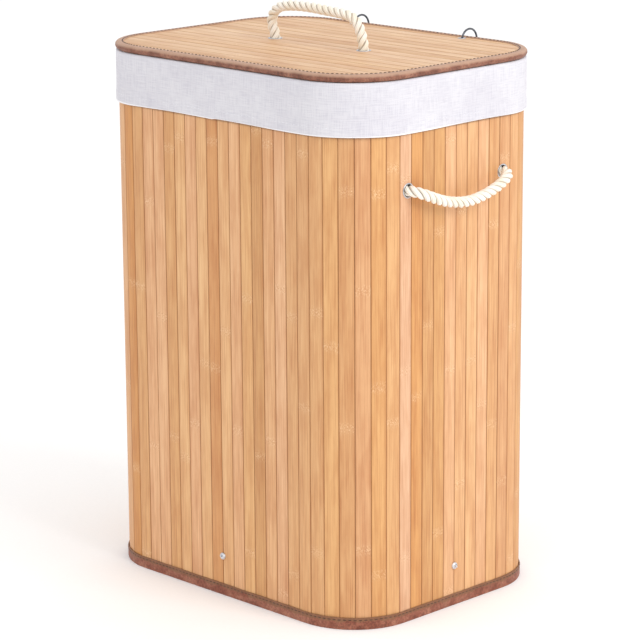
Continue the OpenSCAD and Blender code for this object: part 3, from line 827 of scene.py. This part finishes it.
def make_handles():
    for side, name in ((1, "right_handle"), (-1, "left_handle")):
        places = [((side * knot_high.x, y * SIDE_Y, SIDE_Z), (-side, 0, 0)) for y in (-1, 1)]
        make_handle(name, side_route(side), "basket",
                    name + "_knots", places)
    places = [((x * LID_HANDLE_X, 0, lid_knot_high.z), (0, 0, -1)) for x in (-1, 1)]
    make_handle("lid_handle", lid_route(), "lid", "lid_handle_knots",
                places, tail=7 * MM)


# ---- Slats and the cloth behind them ----
def slat_blank(width, thickness, length, upright):
    """One planed slat with eased edges. Its width is along X, and its length is up from z = 0,
    or along Y to both sides of y = 0."""
    section = rounded([(-width / 2, -thickness / 2), (width / 2, -thickness / 2),
                       (width / 2, thickness / 2), (-width / 2, thickness / 2)], SLAT_EASE, 3)
    m = len(section)
    stations = np.linspace(0, length, 13)
    points = [(x, y, s) if upright else (x, s - length / 2, y) for s in stations for x, y in section]
    faces, uvs = open_grid(len(stations), m, stations, [x for x, _ in section + section[:1]])
    for i in (0, len(stations) - 1):
        faces.append(tuple(i * m + j for j in range(m)))
        uvs.append([(x, stations[i]) for x, _ in section])
    return build("slat_blank", points, faces, None, uvs, sharp=FLAT)


def make_wall():
    """The slat wall, all the way round, and the cloth that its slats are glued to. Both are
    pierced for eyelets and screws."""
    line = rim_line(HALF_W, HALF_D, CORNER_R, step=1, arc_steps=64)
    pitch = line[2][-1] / SLAT_COUNT
    joints, normals = along_rim(line, np.arange(SLAT_COUNT) * pitch)
    foot, top = slats_low.z, slats_high.z
    mesh = bpy.data.meshes.new("wall_slats")
    mesh.from_pydata([(x, y, foot) for x, y in joints - normals * SLAT_T / 2],
                     [(i, (i + 1) % SLAT_COUNT) for i in range(SLAT_COUNT)], [])
    blank = slat_blank(pitch - SLAT_GAP, SLAT_T, top - foot, True)
    wall = run_tree(new_object("wall_slats", mesh), trees["slat_run"], Slat=blank, Proud=0.12 * MM,
                    Turn=math.radians(0.5), Seed=SEED, Face=(0, 1, 0), Finish=finishes["wall_bamboo"])
    bpy.data.objects.remove(blank)

    levels = np.linspace(foot, top, 9)
    m = 2 * len(levels)
    points = [(x, y, z) for p, n in zip(joints, normals)
              for inset, heights in ((SCRIM_IN, levels), (SCRIM_IN + 0.8 * MM, levels[::-1]))
              for z in heights for x, y in [p - n * inset]]
    uvs = grid_uvs(np.arange(SLAT_COUNT + 1) * pitch, [p[2] for p in points[:m] + points[:1]])
    scrim = build("wall_scrim", points, grid(SLAT_COUNT, m), finishes["scrim"], uvs, sharp=60)

    for piece in ("wall", "scrim"):
        made = wall if piece == "wall" else scrim
        made = pierce(made, SIDE_HOLES, ROPE_HOLE_D)
        made = pierce(made, WALL_RING_HOLES, RING_HOLE_D)
        made = pierce(made, SCREW_HOLES, SCREW_SHANK_D + CLEAR, sharp=FLAT if piece == "wall" else 60)
        if piece == "wall":
            hand_over(made, "basket", "bamboo", "front_slats", "right_slats", "back_slats",
                      "left_slats", "front_right_corner_slats", "back_right_corner_slats",
                      "back_left_corner_slats", "front_left_corner_slats")
        else:
            hand_over(made, "basket", "backing_cloth", "wall_cloth")


def make_lid_slats():
    """The lid's slats, cut to the lid's round corners."""
    depth = lid_slat_high.y - lid_slat_low.y
    pitch = depth / LID_SLATS
    mid = (lid_slat_low.z + lid_slat_high.z) / 2
    thickness = lid_slat_high.z - lid_slat_low.z
    mesh = bpy.data.meshes.new("lid_slat_run")
    mesh.from_pydata([(0, lid_slat_low.y + i * pitch, mid) for i in range(LID_SLATS + 1)],
                     [(i, i + 1) for i in range(LID_SLATS)], [])
    blank = slat_blank(pitch - SLAT_GAP, thickness, lid_slat_high.x - lid_slat_low.x, False)
    slats = run_tree(new_object("lid_slat_run", mesh), trees["slat_run"], Slat=blank,
                     Proud=0.08 * MM, Turn=0.0, Seed=SEED + 40, Face=(0, 0, 1),
                     Finish=finishes["lid_bamboo"])
    bpy.data.objects.remove(blank)
    inset = LID_HALF_W - lid_slat_high.x
    outline, _, _ = rim_line(LID_HALF_W - inset, LID_HALF_D - inset, LID_R - inset, step=1)
    n = len(outline)
    points = [(x, y, mid + z) for z in (-thickness, thickness) for x, y in outline]
    faces = [tuple(range(n)), tuple(range(n, 2 * n))]
    faces += [(i, (i + 1) % n, n + (i + 1) % n, n + i) for i in range(n)]
    slats = carve(slats, build("cutting_plate", points, faces), "INTERSECT")
    slats = pierce(slats, LID_ROPE_HOLES, ROPE_HOLE_D)
    slats = pierce(slats, LID_RING_HOLES, RING_HOLE_D, sharp=FLAT)
    hand_over(slats, "lid", "bamboo", "lid_slats")


# ---- Tapes and stitches ----
def stitch_row(name, line, out, height, length, width, finish, body, slot):
    """A row of stitches round a rim line, each a short rounded thread."""
    r = width / 2
    ends = [(0.1 * r, length / 2), (0.8 * r, length / 2 - r), (r, length / 4)]
    section = ends + [(q, -z) for q, z in reversed(ends)]
    blank = lathe("stitch_blank", section, 6, sharp=60)
    total = line[2][-1]
    count = int(total / STITCH_PITCH)
    places, normals = along_rim(line, (np.arange(count) + 0.5) * total / count)
    spots_at = [((p[0] + n[0] * out, p[1] + n[1] * out, height), (-n[1], n[0], 0))
                for p, n in zip(places, normals)]
    hand_over(place_fixings(name, blank, spots_at, finish, sharp=60), body, slot)


def make_tapes():
    """Leather-look tape folded under the bottom edge and round the lid's edge, and its seams."""
    line = rim_line(HALF_W, HALF_D, CORNER_R)
    out = skirt_high.x - HALF_W
    top = skirt_high.z
    inner = 3.7 * MM
    section = rounded([(out, 0), (out, top), (out - TAPE_T, top), (out - TAPE_T, TAPE_T),
                       (-inner, TAPE_T), (-inner, top), (-inner - TAPE_T, top), (-inner - TAPE_T, 0)],
                      0.8 * MM, 3)
    section = [(x, max(z, 0)) for x, z in section]

    def ripple(places, walked, point):
        outside = (point[0] > 0) * (point[1] > TAPE_T)
        lift = 0.3 * MM * waves(walked, 3, 50 * MM) * (point[1] > top / 2)
        return 0.12 * MM * waves(walked, 5, 35 * MM) * outside, lift

    hand_over(sweep("bottom_tape", line, section, finishes["tape"], ripple),
              "basket", "leather_trim", "bottom_binding")
    stitch_row("bottom_seam", line, out + 0.05 * MM, top - 2.5 * MM, 3.6 * MM, 0.8 * MM,
               "brown_thread", "basket", "leather_trim")

    edge = rim_line(LID_HALF_W, LID_HALF_D, LID_R)
    half = (lid_high.z - lid_low.z) / 2
    mid = (lid_high.z + lid_low.z) / 2
    skin = 1 * MM
    section = [(-half + half * math.cos(a), mid + half * math.sin(a))
               for a in np.linspace(-math.pi / 2, math.pi / 2, 13)]
    section += [(-LID_TAPE_W + 0.5 * MM, mid + half - 0.1 * MM), (-LID_TAPE_W, mid + half - 0.5 * MM),
                (-LID_TAPE_W, mid + half - skin), (-2 * MM, mid + half - skin),
                (-2 * MM, mid - half + skin), (-LID_TAPE_W, mid - half + skin),
                (-LID_TAPE_W, mid - half + 0.5 * MM), (-LID_TAPE_W + 0.5 * MM, mid - half + 0.1 * MM)]

    def pucker(places, walked, point):
        return 0.35 * MM * waves(walked, 9, 30 * MM) * (point[0] < -LID_TAPE_W + 1 * MM), 0

    hand_over(sweep("lid_tape", edge, section, finishes["lid_tape"], pucker),
              "lid", "leather_trim", "lid_binding")
    stitch_row("lid_seam", edge, -LID_TAPE_W + 1.2 * MM, lid_high.z - 0.05 * MM, 3.4 * MM, 1.2 * MM,
               "brown_thread", "lid", "leather_trim")


# ---- Liner and lid lining ----
def make_cuff():
    """The liner's cuff: one cloth folded over the rim, with a turned hem that hangs loose."""
    line = rim_line(HALF_W, HALF_D, CORNER_R, step=5 * MM, arc_steps=24)
    out = cuff_high.x - HALF_W
    foot, top = cuff_low.z, cuff_high.z
    under = out - CLOTH_T
    fold_in = bag_high.x - HALF_W
    hem = 12 * MM
    levels = np.linspace(foot + 1.2 * MM, top - 2.5 * MM, 15)
    section = [(under + 0.1 * MM, foot), (out - 0.1 * MM, foot), (out + 0.25 * MM, foot + 0.5 * MM)]
    section += [(out + (0.3 * MM if z < foot + hem else 0.0), z) for z in levels]
    section += [(out - 0.1 * MM, top - 1.0 * MM), (out - 0.9 * MM, top - 0.15 * MM), (out - 2 * MM, top),
                (fold_in, top), (fold_in - 0.6 * MM, top - 0.2 * MM), (fold_in - CLOTH_T, top - 1 * MM)]
    section += [(fold_in - CLOTH_T, z) for z in np.linspace(top - 3 * MM, bag_high.z, 5)]
    section += [(fold_in, z) for z in np.linspace(bag_high.z, top - CLOTH_T - 0.4 * MM, 5)]
    section += [(under - 0.6 * MM, top - CLOTH_T), (under, top - CLOTH_T - 0.5 * MM)]
    section += [(under, z) for z in levels[::-1]]

    def hang(places, walked, point):
        """The outside hangs in slight waves, most at the hem. It lies flat at the back eyelets."""
        if point[0] < 0 or point[1] > top - 2 * MM:
            return 0, 0
        slack = (top - point[1]) / (top - foot)
        held = np.clip((np.abs(np.abs(places[:, 0]) - RING_X) - 7 * MM) / (14 * MM), 0, 1)
        held = np.where(places[:, 1] > 0.9 * HALF_D, held, 1.0)
        wave = waves(walked, 21, 150 * MM) + 0.5 * waves(walked + 2 * point[1], 22, 60 * MM)
        lift = 0.8 * MM * waves(walked, 25, 170 * MM) * slack * (slack > 0.9)
        return (0.45 + 0.6 * wave) * slack * held * MM, lift

    cuff = sweep("cuff", line, section, finishes["linen"], hang, sharp=55)
    cuff = pierce(cuff, WALL_RING_HOLES, RING_HOLE_D, sharp=55)
    hand_over(cuff, "basket", "linen", "liner_cuff")
    stitch_row("hem_seam", line, out + 0.5 * MM, foot + hem - 3 * MM, 3.2 * MM, 0.5 * MM,
               "white_thread", "basket", "linen")


def make_bag():
    """The liner's bag: it hangs in soft folds from the rim and stands slack on the base
    board, pushed in where the side handles' knots press on it."""
    inset = HALF_W - bag_high.x
    half_w = HALF_W - inset
    half_d = HALF_D - inset
    line = rim_line(half_w, half_d, CORNER_R - inset, step=6 * MM, arc_steps=14)
    places, normals, walked = line
    n = len(places)
    top, foot = bag_high.z, bag_low.z + CLOTH_T / 2
    dent = bag_high.x - knot_low.x + 3.5 * MM
    curl = 20 * MM
    rounding = foot + curl * np.array([0.6, 0.3, 0.12, 0.0])
    levels = np.concatenate([np.linspace(top, foot + curl, 44), rounding])
    rings = []
    for z in levels:
        slack = math.sin(math.pi * min(1, max(0, (top - z) / (top - foot)))) ** 0.6
        folds = waves(walked[:-1], 31, 90 * MM) + 0.7 * waves(walked[:-1] + 0.12 * (top - z), 33, 45 * MM)
        pull = (5 + 4.2 * folds) * slack * MM
        for y in (-1, 1):
            gap = np.hypot(places[:, 1] - y * SIDE_Y, z - SIDE_Z)
            bulge = dent * np.exp(-(np.maximum(gap - KNOT_D / 2, 0) / (24 * MM)) ** 2)
            pull = np.maximum(pull, bulge * (np.abs(places[:, 0]) > 0.98 * half_w))
        pull = np.maximum(pull, CLOTH_T / 2)
        if z < foot + curl:
            pull = pull + (1 - (z - foot) / curl) ** 2 * 6 * MM
        rings.append(np.column_stack([places - normals * pull[:, None], np.full(n, z)]))
    base = rings[-1][:, :2]
    for share in (0.9, 0.75, 0.55, 0.35, 0.15):
        crease = 0.8 * MM * (1 + waves(walked[:-1], 37, 130 * MM)) * math.sin(math.pi * share)
        rings.append(np.column_stack([base * share, foot + crease]))
    points = np.vstack(rings)
    steps = [np.linalg.norm(b - a, axis=1).mean() for a, b in zip(rings[:-1], rings[1:])]
    depth = np.concatenate([[0], np.cumsum(steps)])
    faces, uvs = open_grid(len(rings), n, depth, walked)
    last = (len(rings) - 1) * n
    faces.append(tuple(last + j for j in range(n)))
    uvs.append([tuple(points[last + j][:2]) for j in range(n)])
    bag = build("bag", points, faces, finishes["linen"], uvs, sharp=70, outward=False)
    thick = bag.modifiers.new("cloth", "SOLIDIFY")
    thick.thickness = CLOTH_T
    thick.offset = 0
    bag = settle(bag)
    face_out(bag.data)
    hand_over(bag, "basket", "linen", "liner_bag")


def make_lid_lining():
    """The cloth glued under the lid, with a little air under it here and there."""
    inset = LID_HALF_W - lining_high.x
    half_w = LID_HALF_W - inset
    half_d = LID_HALF_D - inset
    places, _, _ = rim_line(half_w, half_d, LID_R - inset, step=8 * MM, arc_steps=12)
    n = len(places)
    shares = (1.0, 0.985, 0.94, 0.86, 0.76, 0.66, 0.56, 0.46, 0.36, 0.26, 0.16, 0.08)
    rings = []
    for share in shares:
        xy = places * share
        puff = (1 + np.sin(xy[:, 0] * 38 + 1) * np.sin(xy[:, 1] * 51 + 2)) * 0.2 * MM * min(1, 8 - 8 * share)
        rings.append(np.column_stack([xy, lining_low.z + puff]))
    under = np.vstack(rings)
    over = under.copy()
    over[:, 2] = lining_high.z
    points = np.vstack([under, over])
    faces = []
    for quad in grid(len(shares), n, closed=False):
        quad = quad[:1] + quad[:0:-1]
        faces += [quad, tuple(len(under) + q for q in quad)]
    last = (len(shares) - 1) * n
    faces += [tuple(base + j for j in range(n)) for base in (last, len(under) + last)]
    faces += [(j, (j + 1) % n, len(under) + (j + 1) % n, len(under) + j) for j in range(n)]
    uvs = [[tuple(points[i][:2]) for i in face] for face in faces]
    cloth = build("lid_lining_sheet", points, faces, finishes["lining"], uvs, sharp=60)
    cloth = pierce(cloth, LID_ROPE_HOLES, ROPE_HOLE_D, sharp=60)
    cloth = pierce(cloth, LID_RING_HOLES, RING_HOLE_D, sharp=60)
    hand_over(cloth, "lid", "backing_cloth", "lid_lining")


# ---- Metal pieces ----
def eyelets(name, bore, flange_d, grip, holes, body):
    """Rolled eyelets: a barrel as deep as what it grips, with a domed flange at each end."""
    r, f = bore / 2, flange_d / 2
    wall = 0.4 * MM
    dome = [((r + f) / 2 + (f - r) / 2 * math.cos(a), FLANGE_T * math.sin(a) ** 0.6)
            for a in np.linspace(math.pi * 0.96, math.pi * 0.04, 8)]
    front = [(r, -grip / 2)] + dome + [(f, 0.0), (r + wall, 0.0)]
    back = [(radius, -grip - z) for radius, z in reversed(front[1:])]
    made = place_fixings(name, lathe("eyelet_blank", front + back, 40, sharp=50), holes, "nickel", sharp=50)
    hand_over(made, body, "nickel", name.replace("_grommets", "_eyelets"))


def make_eyelets():
    eyelets("side_handle_grommets", ROPE_BORE, ROPE_FLANGE_D, HALF_W - scrim_high.x + 1.4 * MM,
            SIDE_HOLES, "basket")
    eyelets("lid_handle_grommets", ROPE_BORE, ROPE_FLANGE_D,
            lid_eyelet_high.z - lid_eyelet_low.z - 2 * FLANGE_T, LID_ROPE_HOLES, "lid")
    eyelets("lid_ring_grommets", RING_BORE, RING_FLANGE_D,
            ring_eyelet_high.z - ring_eyelet_low.z - 2 * FLANGE_T, LID_RING_HOLES, "lid")
    eyelets("wall_ring_grommets", RING_BORE, RING_FLANGE_D,
            wall_ring_high.y - wall_ring_low.y - 2 * FLANGE_T, WALL_RING_HOLES, "basket")


def make_screws():
    """Pan-head screws with a cross recess, each left at its own angle."""
    r = SCREW_HEAD_D / 2
    h = screw_high.x - HALF_W
    s = SCREW_SHANK_D / 2
    tip = 0.05 * MM
    profile = [(tip, h), (0.35 * r, h), (0.62 * r, 0.95 * h), (0.82 * r, 0.8 * h), (0.95 * r, 0.52 * h),
               (r, 0.18 * h), (0.99 * r, 0.02 * MM), (s, 0.0), (s, -0.86 * SCREW_LEN), (tip, -SCREW_LEN)]
    blank = lathe("screw_blank", profile, 32, sharp=35)
    for turn in (0, 90):
        work = bmesh.new()
        slot = Matrix.Rotation(math.radians(turn), 4, "Z") @ Matrix.Translation((0, 0, h))
        bmesh.ops.create_cube(work, size=1.0,
                              matrix=slot @ Matrix.Diagonal((0.55 * SCREW_HEAD_D, 1 * MM, h, 1)))
        blank = cut_away(blank, work)
    made = place_fixings("pan_head_screws", blank, SCREW_HOLES, "screw", spin=math.pi, sharp=35)
    hand_over(made, "basket", "screw_steel", "base_screws")


def make_rings():
    """The hinge rings: round spring wire, butted and pinched at one place."""
    sides, turns = 16, 72
    for side, node in ((-1, "left_ring"), (1, "right_ring")):
        points = []
        for i in range(turns):
            a = 2 * math.pi * i / turns
            wire = RING_WIRE_D / 2 * (1 - 0.22 * math.exp(-((a - math.pi * 1.27) / 0.035) ** 2))
            for j in range(sides):
                b = 2 * math.pi * j / sides
                reach = RING_R + wire * math.cos(b)
                points.append((side * RING_X + wire * math.sin(b), hinge.y + reach * math.cos(a),
                               hinge.z + reach * math.sin(a)))
        ring = build(node.replace("_ring", "_hinge_wire"), points, grid(turns, sides), finishes["wire"])
        hand_over(ring, node, "dark_wire", node)


def dress_cad_nodes():
    """CAD pieces that keep their shape and get a real finish."""
    for node, finish in (("rim_hoop", "wire"), ("rim_binding", "tape"), ("base_board", "board"),
                         ("lid_board", "hardboard")):
        slots = frame["nodes"][node].data.materials
        if not slots:
            slots.append(finishes[finish])
        for i in range(len(slots)):
            slots[i] = finishes[finish]


finishes = {
    "wall_bamboo": bamboo("lacquered_bamboo_wall", 16 * MM, [
        (0.0, "#d9a76c"), (0.14, "#eabc90"), (0.28, "#dca86c"), (0.42, "#e7be9b"), (0.56, "#d69a5a"),
        (0.7, "#e8bb85"), (0.85, "#e6b48e"), (1.0, "#d2a065")], cuff_low.z),
    "lid_bamboo": bamboo("lacquered_bamboo_lid", 16 * MM, [
        (0.0, "#ddb485"), (0.25, "#eac9a3"), (0.5, "#e0b98c"), (0.75, "#eccdaa"), (1.0, "#d6ac7c")],
        lid_high.z + 1),
    "linen": woven("linen_look_liner", "#dbd9de", "#c4c2cb", 1.0 * MM, 0.6, pale_to=cuff_low.z + 1.4 * MM),
    "scrim": woven("glued_scrim", "#c38d55", "#9d6c3c", 1.6 * MM, 0.7, sheen=0.0),
    "lining": woven("lid_lining_cloth", "#e3e0e6", "#c4bfc8", 1.2 * MM, 0.6),
    "tape": leather_look("leather_look_tape", [(0.35, "#94543f"), (0.5, "#a6664f"), (0.65, "#b87b62")],
                         olive_from=skirt_high.z - 5 * MM),
    "lid_tape": leather_look("leather_look_lid_tape", [(0.35, "#82503c"), (0.5, "#96604a"),
                                                       (0.65, "#aa755c")],
                             lit_top_from=lid_high.z - 2.6 * MM),
    "cotton": laid_cotton("laid_cotton_rope"),
    "nickel": worn_metal("nickel_plate", "#d8d9de", "#a9aab2", 0.28),
    "wire": worn_metal("dark_spring_wire", "#6e7076", "#3a3b40", 0.36),
    "screw": worn_metal("zinc_plate", "#e9eaee", "#c4c6cc", 0.3),
    "board": pressed_board("raw_board", [(0.3, "#b08c5e"), (0.6, "#d8b98a")], 5 * MM),
    "hardboard": pressed_board("hardboard", [(0.3, "#7d5a3a"), (0.6, "#a98259")], 2 * MM),
    "white_thread": twine("white_thread", "#f0f0f5", "#cfced6"),
    "brown_thread": twine("dark_brown_thread", "#4a2a1e", "#2a1610"),
}
trees = {"slat_run": slat_run_tree(), "fixings": fixings_tree()}

set_camera()
make_handles()
make_wall()
make_lid_slats()
make_tapes()
make_cuff()
make_bag()
make_lid_lining()
make_eyelets()
make_screws()
make_rings()
dress_cad_nodes()
set_studio()
